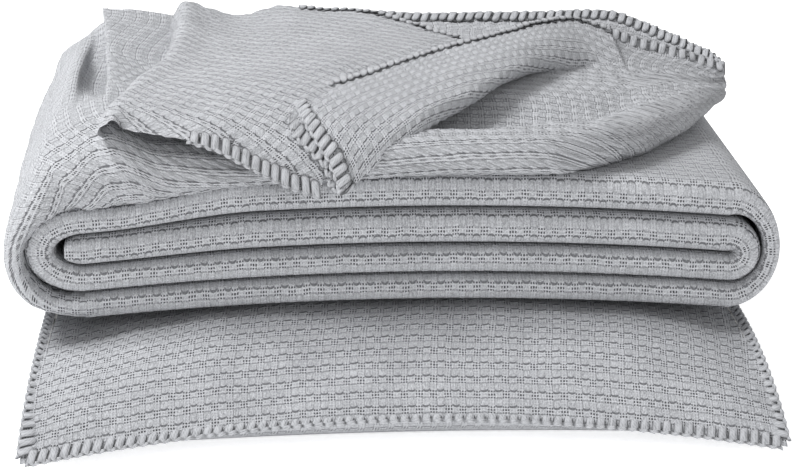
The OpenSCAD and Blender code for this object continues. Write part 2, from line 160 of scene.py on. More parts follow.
def makeWeaveGroup():
    # Basket weave in cloth metres: square blocks between open stripes of three thin yarns.
    # The distance from a block's middle runs from 0 to 0.5 at the stripe's middle. Five gaps between
    # thin yarns fill a pitch: faint holes along the stripes, three by three deep ones where two cross.
    tree = bpy.data.node_groups.new("basketWeave", "ShaderNodeTree")
    tree.interface.new_socket("Cloth", in_out="INPUT", socket_type="NodeSocketVector")
    for name in ("PitchU", "PitchV"):
        tree.interface.new_socket(name, in_out="INPUT", socket_type="NodeSocketFloat")
    for name in ("Height", "ShadowAndStrands", "Holes"):
        tree.interface.new_socket(name, in_out="OUTPUT", socket_type="NodeSocketFloat")
    source = tree.nodes.new("NodeGroupInput")
    result = tree.nodes.new("NodeGroupOutput")
    wobble = tree.nodes.new("ShaderNodeTexNoise")
    wobble.inputs["Scale"].default_value = 70
    wobble.inputs["Detail"].default_value = 3
    tree.links.new(source.outputs["Cloth"], wobble.inputs["Vector"])
    shift = tree.nodes.new("ShaderNodeVectorMath")
    shift.operation = "MULTIPLY_ADD"
    tree.links.new(wobble.outputs["Color"], shift.inputs[0])
    shift.inputs[1].default_value = (0.0026, 0.0026, 0)
    tree.links.new(source.outputs["Cloth"], shift.inputs[2])
    split = tree.nodes.new("ShaderNodeSeparateXYZ")
    tree.links.new(shift.outputs[0], split.inputs[0])
    stripes, dots, signed, offsets = [], [], [], []
    cells = 5
    for axis, pitch in ((0, "PitchU"), (1, "PitchV")):
        along = wireMath(tree, "DIVIDE", split.outputs[axis], source.outputs[pitch])
        part = wireMath(tree, "FRACT", wireMath(tree, "ADD", along, 0.5))
        signed.append(wireMath(tree, "SUBTRACT", part, 0.5))
        offsets.append(wireMath(tree, "ABSOLUTE", signed[-1]))
        stripes.append(wireRange(tree, offsets[-1], 0.25, 0.31))
        turns = wireMath(tree, "MULTIPLY", wireMath(tree, "ADD", along, 0.5), 2 * math.pi * cells)
        dots.append(wireRange(tree, wireMath(tree, "COSINE", turns), -0.45, 0.3))
    crossing = wireMath(tree, "MULTIPLY", stripes[0], stripes[1])
    ground = wireMath(tree, "MAXIMUM", stripes[0], stripes[1])
    depth = wireMath(tree, "ADD", wireMath(tree, "MULTIPLY", crossing, 0.72),
                     wireMath(tree, "MULTIPLY", ground, 0.18))
    holes = wireMath(tree, "MULTIPLY", depth, wireMath(tree, "MULTIPLY", dots[0], dots[1]))
    # painted shadow: a dark arc at one end of each block, where its long floats dive below the stripe, and a
    # fainter one at the other end, which the light reaches more
    shortU = wireRange(tree, offsets[0], 0.30, 0.22)
    bend = wireMath(tree, "MULTIPLY", wireMath(tree, "MULTIPLY", offsets[0], offsets[0]), 1.3)
    arcs = []
    for side in (1, -1):
        away = wireMath(tree, "ADD", wireMath(tree, "MULTIPLY", signed[1], side), bend)
        away = wireMath(tree, "ABSOLUTE", wireMath(tree, "SUBTRACT", away, 0.31))
        arcs.append(wireRange(tree, away, 0.075, 0.03))
    shadowArc = wireMath(tree, "MULTIPLY", shortU, wireMath(tree, "MAXIMUM", arcs[0], wireMath(
        tree, "MULTIPLY", arcs[1], 0.3)))
    block = wireMath(tree, "SUBTRACT", 1.0, ground)
    slant = tree.nodes.new("ShaderNodeMapping")
    slant.inputs["Rotation"].default_value = (0, 0, math.radians(40))
    slant.inputs["Scale"].default_value = (2.6, 0.45, 1)
    tree.links.new(source.outputs["Cloth"], slant.inputs["Vector"])
    strokes = wireRange(tree, wireNoise(tree, slant.outputs[0], 620, 1), 0.48, 0.66)
    strands = wireMath(tree, "MULTIPLY", wireMath(tree, "MULTIPLY", block, strokes), 0.34)
    puff = wireMath(tree, "SUBTRACT", wireMath(tree, "MULTIPLY", block, 0.5),
                    wireMath(tree, "MULTIPLY", shadowArc, 0.7))
    puff = wireMath(tree, "SUBTRACT", puff, wireMath(tree, "ADD", strands, holes))
    # painted shadow of the arcs, added to the strands' own darker tone
    shadowAndStrands = wireMath(tree, "ADD", wireMath(tree, "MULTIPLY", shadowArc, 0.95), strands, clamp=True)
    tree.links.new(puff, result.inputs["Height"])
    tree.links.new(shadowAndStrands, result.inputs["ShadowAndStrands"])
    tree.links.new(holes, result.inputs["Holes"])
    return tree


def makeYarnGroup():
    # Loose yarn: fine fibres stretched along its length, with a faint slanting twist.
    tree = bpy.data.node_groups.new("looseYarn", "ShaderNodeTree")
    tree.interface.new_socket("Yarn", in_out="INPUT", socket_type="NodeSocketVector")
    tree.interface.new_socket("Twist", in_out="INPUT", socket_type="NodeSocketFloat")
    tree.interface.new_socket("Height", in_out="OUTPUT", socket_type="NodeSocketFloat")
    source = tree.nodes.new("NodeGroupInput")
    result = tree.nodes.new("NodeGroupOutput")
    split = tree.nodes.new("ShaderNodeSeparateXYZ")
    tree.links.new(source.outputs["Yarn"], split.inputs[0])
    slant = wireMath(tree, "ADD", split.outputs[0], split.outputs[1])
    turns = wireMath(tree, "DIVIDE", slant, source.outputs["Twist"])
    wave = wireMath(tree, "COSINE", wireMath(tree, "MULTIPLY", turns, 2 * math.pi))
    stretch = tree.nodes.new("ShaderNodeMapping")
    stretch.inputs["Scale"].default_value = (0.3, 1.4, 1)
    tree.links.new(source.outputs["Yarn"], stretch.inputs["Vector"])
    fibres = wireNoise(tree, stretch.outputs[0], 900, 3)
    height = wireMath(tree, "ADD", wireMath(tree, "MULTIPLY", wave, 0.06), fibres)
    tree.links.new(height, result.inputs["Height"])
    return tree


weaveGroup = makeWeaveGroup()
yarnGroup = makeYarnGroup()


def startMaterial(name, roughness, sheen):
    material = bpy.data.materials.new(name)
    material.use_nodes = True
    tree = material.node_tree
    shader = tree.nodes["Principled BSDF"]
    shader.inputs["Roughness"].default_value = roughness
    shader.inputs["Sheen Weight"].default_value = sheen
    shader.inputs["Sheen Roughness"].default_value = 0.5
    shader.inputs["Specular IOR Level"].default_value = 0.15
    where = tree.nodes.new("ShaderNodeTexCoord")
    return material, tree, shader, where


def addBump(tree, shader, height, distance, strength=1.0):
    bump = tree.nodes.new("ShaderNodeBump")
    bump.inputs["Distance"].default_value = distance
    bump.inputs["Strength"].default_value = strength
    tree.links.new(height, bump.inputs["Height"])
    tree.links.new(bump.outputs[0], shader.inputs["Normal"])


def tinted(colour, tint):
    return tuple(c * tint for c in colour[:3]) + (1,)


def weaveMaterial(name, tint):
    material, tree, shader, where = startMaterial(name, 0.95, 0.06)
    group = tree.nodes.new("ShaderNodeGroup")
    group.node_tree = weaveGroup
    tree.links.new(where.outputs["UV"], group.inputs["Cloth"])
    group.inputs["PitchU"].default_value = cloth["pitchU"]
    group.inputs["PitchV"].default_value = cloth["pitchV"]
    light, dark = tinted(cloth["light"], tint), tinted(cloth["dark"], tint)
    fibres = wireNoise(tree, where.outputs["Object"], 1400, 3)
    patches = wireNoise(tree, where.outputs["Object"], 35, 2)
    # painted shadow: the arcs darken the cloth towards dark, together with the strands' own tone
    base = wireMix(tree, group.outputs["ShadowAndStrands"], light, dark)
    softened = wireMix(tree, wireRange(tree, fibres, 0.3, 0.7, 0.0, 0.5), base, dark)
    faded = wireMix(tree, wireRange(tree, patches, 0.3, 0.7, 0.0, 0.12), softened, dark)
    # painted shade: the holes are coloured near black for the shadow inside them
    coloured = wireMix(tree, group.outputs["Holes"], faded, cloth["holeShade"])
    tree.links.new(coloured, shader.inputs["Base Color"])
    height = wireMath(tree, "ADD", group.outputs["Height"], wireMath(tree, "MULTIPLY", fibres, 0.5))
    addBump(tree, shader, height, 1.1 * mm)
    return material


def yarnMaterial(name, tint, twist):
    material, tree, shader, where = startMaterial(name, 0.95, 0.08)
    group = tree.nodes.new("ShaderNodeGroup")
    group.node_tree = yarnGroup
    tree.links.new(where.outputs["UV"], group.inputs["Yarn"])
    group.inputs["Twist"].default_value = twist
    light, dark = tinted(cloth["light"], tint), tinted(cloth["dark"], tint)
    colour = wireMix(tree, wireRange(tree, group.outputs["Height"], 0.2, 0.62, 0.25, 1.0), dark, light)
    # painted shade: the stitches darken where loops and the edge yarn's turns meet, from the attribute made
    # in stitchRun
    grooveShade = tree.nodes.new("ShaderNodeAttribute")
    grooveShade.attribute_name = "grooveShade"
    grooveShadeColour = tinted(dark, 0.3)
    shaded = wireMix(tree, wireMath(tree, "MULTIPLY", grooveShade.outputs["Fac"], 0.9), colour, grooveShadeColour)
    tree.links.new(shaded, shader.inputs["Base Color"])
    addBump(tree, shader, group.outputs["Height"], 0.5 * mm)
    return material


def plainWeaveMaterial(name, colour, shadow, scale):  # fine tape or lining cloth on object coordinates
    material, tree, shader, where = startMaterial(name, 0.85, 0.1)
    noise = wireNoise(tree, where.outputs["Object"], scale, 4)
    base = wireMix(tree, wireRange(tree, noise, 0.3, 0.7), colour, shadow)
    tree.links.new(base, shader.inputs["Base Color"])
    addBump(tree, shader, noise, 0.2 * mm)
    return material


def metalMaterial(name):
    material, tree, shader, where = startMaterial(name, 0.35, 0.0)
    shader.inputs["Metallic"].default_value = 1.0
    noise = wireNoise(tree, where.outputs["Object"], 500, 3)
    base = wireMix(tree, noise, (0.55, 0.56, 0.58, 1), (0.75, 0.76, 0.78, 1))
    tree.links.new(base, shader.inputs["Base Color"])
    tree.links.new(wireRange(tree, noise, 0.2, 0.8, 0.25, 0.45), shader.inputs["Roughness"])
    addBump(tree, shader, noise, 0.05 * mm)
    return material


throwWeave = weaveMaterial("throwWeave", 1.0)
cushionWeave = weaveMaterial("cushionWeave", 0.97)
edgeYarn = yarnMaterial("edgeYarn", 0.82, 1.5 * mm)
liningCloth = plainWeaveMaterial("liningCloth", (0.80, 0.79, 0.76, 1), (0.70, 0.69, 0.66, 1), 700)
tapeCloth = plainWeaveMaterial("tapeCloth", (0.32, 0.33, 0.34, 1), (0.22, 0.23, 0.24, 1), 1500)
coilPlastic = plainWeaveMaterial("coilPlastic", (0.36, 0.37, 0.38, 1), (0.28, 0.29, 0.30, 1), 900)
zipMetal = metalMaterial("zipMetal")
print("materials made")


def addMesh(name, points, faces, uv, material, body, node):
    mesh = bpy.data.meshes.new(name)
    mesh.from_pydata(points.reshape(-1, 3), [], faces.tolist())
    layer = mesh.uv_layers.new(name="clothMetres")
    loops = np.empty(len(mesh.loops), dtype=np.int32)
    mesh.loops.foreach_get("vertex_index", loops)
    layer.data.foreach_set("uv", uv.reshape(-1, 2)[loops].astype(np.float32).ravel())
    mesh.shade_smooth()
    mesh.materials.append(material)
    mesh.update()
    thing = bpy.data.objects.new(name, mesh)
    bpy.context.scene.collection.objects.link(thing)
    if body:
        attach(thing, body)
    if node:
        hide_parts(*([node] if isinstance(node, str) else node))
    return thing


def gridFaces(rows, columns, closedColumns=False):
    # quads of a rows by columns grid of points, row after row
    i = np.arange(rows - 1)[:, None]
    j = np.arange(columns if closedColumns else columns - 1)[None, :]
    nextJ = (j + 1) % columns
    a, b = i * columns + j, i * columns + nextJ
    c, d = (i + 1) * columns + nextJ, (i + 1) * columns + j
    return np.stack([a, b, c, d], axis=-1).reshape(-1, 4)


def splineAlong(points, count):
    # Curves through the control points along axis 0: cubic pieces whose slope at a point is the
    # mean of the slopes on its two sides, weighted by how near each neighbour is.
    points = np.asarray(points, float)
    gaps = np.linalg.norm(np.diff(points, axis=0), axis=-1).reshape(len(points) - 1, -1).mean(axis=1)
    knots = np.concatenate([[0.0], np.cumsum(gaps)])
    shape = (-1,) + (1,) * (points.ndim - 1)
    h = gaps.reshape(shape)
    slope = np.diff(points, axis=0) / h
    tangent = np.empty_like(points)
    tangent[1:-1] = (slope[:-1] * h[1:] + slope[1:] * h[:-1]) / (h[:-1] + h[1:])
    tangent[0], tangent[-1] = slope[0], slope[-1]
    where = np.linspace(0, knots[-1], count)
    k = np.clip(np.searchsorted(knots, where, side="right") - 1, 0, len(gaps) - 1)
    step = gaps[k].reshape(shape)
    t = ((where - knots[k]) / gaps[k]).reshape(shape)
    return ((2 * t ** 3 - 3 * t ** 2 + 1) * points[k] + (t ** 3 - 2 * t ** 2 + t) * step * tangent[k]
            + (3 * t ** 2 - 2 * t ** 3) * points[k + 1] + (t ** 3 - t ** 2) * step * tangent[k + 1])


def lengthsAlong(points, axis):  # running length of each grid line along axis
    steps = np.linalg.norm(np.diff(points, axis=axis), axis=-1)
    start = np.zeros_like(np.take(steps, [0], axis=axis))
    return np.cumsum(np.concatenate([start, steps], axis=axis), axis=axis)


def unit(vectors):
    return vectors / np.maximum(np.linalg.norm(vectors, axis=-1, keepdims=True), 1e-12)


def gridNormals(points):  # across the two directions of the grid
    return unit(np.cross(np.gradient(points, axis=0), np.gradient(points, axis=1)))


def gridArea(points):  # the sum of the areas of the grid's cells
    across = points[1:, 1:] - points[:-1, :-1]
    other = points[1:, :-1] - points[:-1, 1:]
    return float(np.linalg.norm(np.cross(across, other), axis=-1).sum() / 2)


def weaveRelief(u, v):
    # height of the puffy blocks: a rounded bump per block, one cosine each way, flattened on top
    bumpU = 0.5 + 0.5 * np.cos(2 * math.pi * u / cloth["pitchU"])
    bumpV = 0.5 + 0.5 * np.cos(2 * math.pi * v / cloth["pitchV"])
    return cloth["relief"] * (bumpU * bumpV) ** 0.6


def softUneven(u, v, height, seed):
    # slow rise and fall of hand-laid cloth: a few long sine waves at odd angles
    draw = np.random.default_rng(seed)
    total = np.zeros_like(u)
    for length in (0.11, 0.07, 0.045, 0.03):
        angle, phase = draw.uniform(0, math.pi), draw.uniform(0, 2 * math.pi)
        total += length * np.sin(2 * math.pi * (u * math.cos(angle) + v * math.sin(angle)) / length + phase)
    return height * total / 0.15


def weaveChart(sheet, turn):
    # Cloth metres for a sheet that lies over the stack: length in the XZ plane one way and in the YZ
    # plane the other, turned by an angle where the cloth lies aslant.
    across = lengthsAlong(sheet[..., [0, 2]], 0) + sheet[:1, :, 0]
    down = lengthsAlong(sheet[..., [1, 2]], 1) - sheet[:, :1, 1]
    c, w = math.cos(turn), math.sin(turn)
    return across * c + down * w, down * c - across * w


def clothFromControl(control, stepSize, uneven, seed, turn=None):
    # A sheet through a grid of control points; returns its points, cloth metres, normals and flat cut.
    control = np.asarray(control, float) * mm + np.array([0, 0, upperCrown])
    size = [int(lengthsAlong(control, axis).max(axis=axis).mean() / stepSize) + 1 for axis in (0, 1)]
    sheet = splineAlong(control, size[0])
    sheet = np.swapaxes(splineAlong(np.swapaxes(sheet, 0, 1), size[1]), 0, 1)
    u, v = lengthsAlong(sheet, 0), lengthsAlong(sheet, 1)
    normals = gridNormals(sheet)
    cut = {"flat": (float(u[-1].max()), float(v[:, -1].max())), "area": gridArea(sheet)}
    cut["area"] = min(cut["area"], cut["flat"][0] * cut["flat"][1])
    if turn is not None:
        u, v = weaveChart(sheet, math.radians(turn))
    lift = softUneven(u, v, uneven, seed) + weaveRelief(u, v) - cloth["relief"] / 2
    sheet = sheet + normals * lift[..., None]
    return sheet, np.stack([u, v], axis=-1), normals, cut


def addCloth(name, sheet, uv, material, body, node, flip=False):
    faces = gridFaces(sheet.shape[0], sheet.shape[1])
    if flip:
        faces = faces[:, ::-1]
    return addMesh(name, sheet, faces, uv, material, body, node)


stitching = {
    "pitch": 6.9 * mm,     # from stitch to stitch
    "depth": 9.0 * mm,     # how far a stitch reaches in from the edge
    "width": 2.95 * mm,    # half width of one loop
    "height": 0.95 * mm,   # half thickness of one loop
    "lean": 2.0 * mm,      # how far the inner end is shifted along the edge
    "rim": 1.25 * mm,      # radius of the yarn along the edge
    "over": 1.35 * mm,     # distance of the loop's middle from the cloth's middle
    "wander": 0.35 * mm,   # how unevenly the stitches are spaced
    "unevenDepth": 0.12,   # how unevenly deep they are, as a share
    "wrap": 1.2 * mm,      # how far a loop passes outside the edge
    "rimOut": 1.6 * mm,    # how far the edge's yarn lies outside the edge
    "rimSwing": (0.35 * mm, 0.4 * mm),  # its swing out and up from stitch to stitch
    "rimStep": 1.7 * mm,
    "sides": 8,
}


def sampleAt(line, lengths, where):  # line's values at given running lengths
    return np.stack([np.interp(where, lengths, line[:, k]) for k in range(line.shape[1])], axis=-1)


def tubeGrid(path, side, up, halfWidth, halfHeight, sides):
    # an oval ring of points round every point of a set of paths
    turn = np.linspace(0, 2 * math.pi, sides, endpoint=False)
    across = side[..., None, :] * (np.cos(turn)[:, None] * halfWidth[..., None, None])
    out = up[..., None, :] * (np.sin(turn)[:, None] * halfHeight[..., None, None])
    return path[..., None, :] + across + out


def stitchRun(name, edge, inward, normal, body, node, seed):
    # Blanket stitch along an edge: a loop of yarn at every pitch goes from inside the cloth over the
    # edge and back underneath, and one yarn runs along the edge through the loops. Painted shade: a
    # per-point attribute is one where loops or the edge yarn's turns meet, where little light gets in.
    lengths = lengthsAlong(edge, 0)
    total = lengths[-1]
    count = max(int(total / stitching["pitch"]), 2)
    draw = np.random.default_rng(seed)
    where = (np.arange(count) + 0.5) * total / count + draw.uniform(-1, 1, count) * stitching["wander"]
    uneven = stitching["unevenDepth"]
    depth = stitching["depth"] * draw.uniform(1 - uneven, 1 + uneven, count)
    sides = stitching["sides"]
    t = np.linspace(0, 1, 12)
    fromEdge = np.abs(t - 0.5) * 2
    inDistance = depth[:, None] * np.clip((fromEdge - 0.25) / 0.75, 0, 1)
    inDistance = inDistance - stitching["wrap"] * (fromEdge < 0.3)
    sink = np.where(fromEdge > 0.95, 0.3, 1.0)  # the ends dive into the cloth
    upDistance = stitching["over"] * np.sign(0.5 - t) * np.clip(fromEdge * 3, 0, 1) * sink
    upDistance = np.broadcast_to(upDistance, inDistance.shape)
    along = where[:, None] + stitching["lean"] * inDistance / stitching["depth"] * np.sign(0.5 - t)
    along = np.clip(along, 0, total)
    e, i, n = (sampleAt(line, lengths, along.ravel()).reshape(count, len(t), 3)
               for line in (edge, inward, normal))
    i, n = unit(i), unit(n)
    path = e + i * inDistance[..., None] + n * upDistance[..., None]
    side = unit(np.cross(i, n))
    up = unit(np.cross(unit(np.gradient(path, axis=1)), side))
    taper = np.broadcast_to(np.interp(fromEdge, (0, 0.8, 0.9, 1), (1, 1, 0.85, 0.4)), inDistance.shape)
    ring = tubeGrid(path, side, up, stitching["width"] * taper, stitching["height"] * taper, sides)
    faces = gridFaces(len(t), sides, closedColumns=True)
    faces = (faces[None] + (np.arange(count) * len(t) * sides)[:, None, None]).reshape(-1, 4)
    uv = np.stack(np.broadcast_arrays(
        (t * 2 * stitching["depth"])[None, :, None] + np.arange(count)[:, None, None] * 0.013,
        (np.arange(sides) * 1.6 * mm)[None, None, :]), axis=-1)
    turn = np.linspace(0, 2 * math.pi, sides, endpoint=False)
    # painted shade on the loops' sides and at their ends, where they dive into the cloth
    grooveShade = np.maximum(np.abs(np.cos(turn))[None, :] ** 6, np.clip(fromEdge * 10 - 9, 0, 1)[:, None])
    grooveShade = np.broadcast_to(grooveShade, (count, len(t), sides)).ravel()
    rimCount = max(int(total / stitching["rimStep"]), 8)
    spots = np.linspace(0, total, rimCount)
    e, i, n = (sampleAt(line, lengths, spots) for line in (edge, inward, normal))
    i, n = unit(i), unit(n)
    swing = 2 * math.pi * spots / stitching["pitch"]
    swingOut, swingUp = stitching["rimSwing"]
    rimPath = e - i * (stitching["rimOut"] + swingOut * np.cos(swing))[:, None]
    rimPath = rimPath + n * (swingUp * np.sin(swing))[:, None]
    thick = stitching["rim"] * (1 + 0.14 * np.cos(swing))
    rim = tubeGrid(rimPath, i, n, thick, thick, sides)
    rimFaces = gridFaces(rimCount, sides, closedColumns=True) + count * len(t) * sides
    rimUv = np.stack(np.broadcast_arrays(spots[:, None], (np.arange(sides) * 1.1 * mm)[None, :]), axis=-1)
    # painted shade where the edge yarn's turns meet between the loops
    rimGrooveShade = np.repeat(np.clip(-np.cos(swing), 0, 1) ** 2, sides)
    points = np.concatenate([ring.reshape(-1, 3), rim.reshape(-1, 3)])
    allUv = np.concatenate([uv.reshape(-1, 2), rimUv.reshape(-1, 2)])
    run = addMesh(name, points, np.concatenate([faces, rimFaces]), allUv, edgeYarn, body, node)
    layer = run.data.attributes.new("grooveShade", "FLOAT", "POINT")
    layer.data.foreach_set("value", np.concatenate([grooveShade, rimGrooveShade]).astype(np.float32))
    return run


def curlEdge(sheet, drop, reach):
    # the stitched far edge stands up: the cloth dips just inside it by a decaying exponential and
    # comes back to its own height further in by a bell curve
    inside = lengthsAlong(sheet, 1)
    curled = sheet.copy()
    curled[..., 2] -= drop * (1 - np.exp(-inside / reach)) * np.exp(-(inside / (8 * reach)) ** 2)
    return curled


def borderOf(sheet, normals, axis, end, depth=4):
    # the edge of a sheet, the direction into the cloth and the cloth's normal along it
    lines = np.swapaxes(sheet, 0, 1) if axis == 1 else sheet
    across = np.swapaxes(normals, 0, 1) if axis == 1 else normals
    if end:
        lines, across = lines[::-1], across[::-1]
    return lines[0], unit(lines[depth] - lines[0]), across[0]


# Camera, light and floor
cameraPlace = {
    "position": (-0.1074, -1.8225, 0.6135),
    "downTilt": 16.32,      # degrees below the horizon
    "turn": 3.73,           # degrees towards +X
    "lens": 120.9,
}
lens = bpy.data.cameras.new("studioCamera")
lens.lens = cameraPlace["lens"]
lens.sensor_width = 36
lens.clip_start = 0.05
camera = bpy.data.objects.new("studioCamera", lens)
camera.location = cameraPlace["position"]
camera.rotation_euler = (math.radians(90 - cameraPlace["downTilt"]), 0,
                         -math.radians(cameraPlace["turn"]))
bpy.context.scene.collection.objects.link(camera)
bpy.context.scene.camera = camera

studio = {
    "sky": (1.0, 1.0, 1.0, 1),
    "skyStrength": 0.5,
    "keyPower": 44,
    "keyPlace": (-1.15, -0.1, 1.6),
    "keySize": 0.7,
    "fillPower": 12,
    "fillPlace": (1.2, -1.9, 0.9),
    "fillSize": 1.2,
    "floor": (0.95, 0.95, 0.95, 1),
    "floorReach": 30,
    "floorGlow": 0.62,
}


def addAreaLight(name, place, aim, size, power):
    light = bpy.data.lights.new(name, "AREA")
    light.energy = power
    light.size = size
    lamp = bpy.data.objects.new(name, light)
    lamp.location = place
    direction = np.array(aim) - np.array(place)
    flat = math.hypot(direction[0], direction[1])
    lamp.rotation_euler = (math.atan2(flat, -direction[2]), 0, math.atan2(-direction[0], direction[1]))
    bpy.context.scene.collection.objects.link(lamp)


addAreaLight("keyLight", studio["keyPlace"], (0, 0, 0.1), studio["keySize"], studio["keyPower"])
addAreaLight("fillLight", studio["fillPlace"], (0, 0, 0.1), studio["fillSize"], studio["fillPower"])
world = bpy.data.worlds.new("studioSky")
world.use_nodes = True
world.node_tree.nodes["Background"].inputs["Color"].default_value = studio["sky"]
world.node_tree.nodes["Background"].inputs["Strength"].default_value = studio["skyStrength"]
bpy.context.scene.world = world
bpy.context.scene.view_settings.view_transform = "Standard"

floorMesh = bpy.data.meshes.new("studioFloor")
reach = studio["floorReach"]
floorMesh.from_pydata([(-reach, -reach, 0), (reach, -reach, 0), (reach, reach, 0), (-reach, reach, 0)],
                      [], [(0, 1, 2, 3)])
studioFloor = bpy.data.objects.new("studioFloor", floorMesh)
bpy.context.scene.collection.objects.link(studioFloor)
floorPaint, _, floorShader, _ = startMaterial("floorPaint", 0.9, 0.0)
floorShader.inputs["Base Color"].default_value = studio["floor"]
floorShader.inputs["Emission Color"].default_value = studio["floor"]
floorShader.inputs["Emission Strength"].default_value = studio["floorGlow"]
floorMesh.materials.append(floorPaint)
print("studio set")

# The cushion
cushionShape = {
    "cornerLift": 4 * mm,
    "frontBow": 25 * mm,
    "backBow": 14 * mm,
    "sideBow": 14 * mm,
    "frontRise": 15 * mm,
    "backRise": 36 * mm,
    "coverThickness": 3.2 * mm,
    "sideRoom": 2 * mm,         # between the side seams and the throw
    "flatPower": 12,            # the back edge is nearly straight
    "rimShare": 0.03,           # share of the half width over which the relief fades at the seam
    "pucker": 0.6 * mm,         # the seam's stitches draw the cloth in
    "unevenTop": 0.9 * mm,
    "insertRoom": 1.5 * mm,     # between the cover and the insert
    "underStep": 3.2 * mm,
    "insertStep": 7 * mm,
    "floorShare": 0.86,
    "fullness": 6,
    "step": 2.1 * mm,
}
_, cushionHigh = boxOf("top_panel")
cushionHalf = float(cushionHigh[0])
cushionCrown = float(cushionHigh[2])
sideRise = (cushionCrown + archDrop(cushionHalf) - cushionShape["coverThickness"]
            - cushionShape["cornerLift"] - cushionShape["sideRoom"])


def cushionPlan(u, v):
    # the sides pull in between the corners: a parabola at the front and the two sides,
    # a flatter curve at the back where the zip is
    bow = np.where(v < 0, cushionShape["frontBow"] * (1 - u ** 2),
                   cushionShape["backBow"] * (1 - np.abs(u) ** cushionShape["flatPower"]))
    return u * (cushionHalf - cushionShape["sideBow"] * (1 - v ** 2)), v * (cushionHalf - bow)


def seamHeight(u, v):  # the seam lifts off the floor between the corners
    ends = np.where(v < 0, cushionShape["frontRise"] * (1 - u ** 2),
                    cushionShape["backRise"] * (1 - np.abs(u) ** cushionShape["flatPower"]))
    return cushionShape["cornerLift"] + sideRise * (1 - v ** 4) * u ** 2 + ends * v ** 2


def cushionTop(u, v):
    # from the seam the top rises to a crown that droops like the stack, full almost to the edges
    x, y = cushionPlan(u, v)
    seam = seamHeight(u, v)
    crown = cushionCrown + archDrop(x)
    power = cushionShape["fullness"]
    z = seam + (crown - seam) * (1 - np.abs(u) ** power) * (1 - np.abs(v) ** power)
    return np.stack([x, y, z], axis=-1)


def cushionUnder(u, v):  # flat on the floor, and up to the seam near the rim
    x, y = cushionPlan(u, v)
    rim = np.maximum(np.abs(u), np.abs(v))
    share = np.clip((rim - cushionShape["floorShare"]) / (1 - cushionShape["floorShare"]), 0, 1) ** 1.4
    return np.stack([x, y, seamHeight(u, v) * share], axis=-1)


def cushionGrid(step):  # parameters crowd towards the rim, where the surface bends
    count = int(2 * cushionHalf / step) + 20
    t = np.linspace(-1, 1, count)
    t = t - 0.045 * np.sin(2 * math.pi * t)
    return np.meshgrid(t, t, indexing="ij")


def addCushion():
    u, v = cushionGrid(cushionShape["step"])
    top = cushionTop(u, v)
    su, sv = lengthsAlong(top, 0), lengthsAlong(top, 1)
    normals = gridNormals(top)
    normals *= np.sign(normals[..., 2:].mean())
    rim = np.clip((1 - np.maximum(np.abs(u), np.abs(v))) / cushionShape["rimShare"], 0, 1)
    nearSeam = np.clip(1 - (1 - np.abs(v)) / (2 * cushionShape["rimShare"]), 0, 1)
    pucker = cushionShape["pucker"] * np.cos(2 * math.pi * su / stitching["pitch"]) * nearSeam
    uneven = softUneven(su, sv, cushionShape["unevenTop"], 5)
    lift = (weaveRelief(su, sv) - cloth["relief"] + uneven) * rim + pucker * rim
    top = top + normals * lift[..., None]
    cover = addCloth("cushionCoverTop", top, np.stack([su, -sv], axis=-1), cushionWeave, "cushion",
                     "top_panel")
    u, v = cushionGrid(cushionShape["underStep"])
    under = cushionUnder(u, v)
    under[..., 2] = np.maximum(under[..., 2], 0)
    su, sv = lengthsAlong(under, 0), lengthsAlong(under, 1)
    base = addCloth("cushionCoverUnder", under, np.stack([su, sv], axis=-1), cushionWeave, "cushion",
                    "bottom_panel", flip=True)
    inset = cushionShape["coverThickness"] + cushionShape["insertRoom"]
    u, v = cushionGrid(cushionShape["insertStep"])
    upper, lower = cushionTop(u, v), cushionUnder(u, v)
    lower[..., 2] = np.maximum(lower[..., 2], 0)
    middle = (upper + lower) / 2
    half = np.maximum((upper[..., 2] - lower[..., 2]) / 2 - inset, 0)
    shrink = 1 - inset / cushionHalf
    for grid, sign in ((upper, 1), (lower, -1)):
        grid[..., :2] *= shrink
        grid[..., 2] = middle[..., 2] + sign * half
    n = u.shape[0]
    points = np.concatenate([upper.reshape(-1, 3), lower.reshape(-1, 3)])
    faces = np.concatenate([gridFaces(n, n), gridFaces(n, n)[:, ::-1] + n * n])
    uv = np.concatenate([points[:n * n, :2], points[n * n:, :2]])
    insert = addMesh("cushionInsert", points, faces, uv, liningCloth, "cushion",
                     ["insert_casing", "filling"])
    weldRim(insert)
    seamData = {
        "front": ("front_seam_edging", cushionSeam(-1, True)),
        "back": ("back_seam_edging", cushionSeam(1, True)),
        "left": ("left_seam_edging", cushionSeam(-1, False)),
        "right": ("right_seam_edging", cushionSeam(1, False)),
    }
    for seed, (side, (node, border)) in enumerate(seamData.items()):
        stitchRun(side + "SeamStitches", *border, "cushion", node, seed + 20)


def weldRim(thing):  # closes a shell made of two sheets with the same rim
    import bmesh
    work = bmesh.new()
    work.from_mesh(thing.data)
    bmesh.ops.remove_doubles(work, verts=work.verts, dist=0.01 * mm)
    bmesh.ops.recalc_face_normals(work, faces=work.faces)
    work.to_mesh(thing.data)
    work.free()


def cushionSeam(side, alongX):
    # a seam's line, the way into the cushion's top and the cloth's normal there
    t = np.linspace(-0.985, 0.985, 260)
    edge = side * np.ones_like(t)
    inner = side * 0.985 * np.ones_like(t)
    pairs = ((t, edge), (t, inner)) if alongX else ((edge, t), (inner, t))
    line, inside = (cushionTop(*pair) for pair in pairs)
    under = cushionUnder(*pairs[1])
    middle = (inside + under) / 2
    inward = unit(middle - line)
    along = unit(np.gradient(line, axis=0))
    normal = unit(np.cross(along, inward))
    normal *= np.sign(normal[:, 2:])
    return line, inward, normal


addCushion()
print("cushion made")

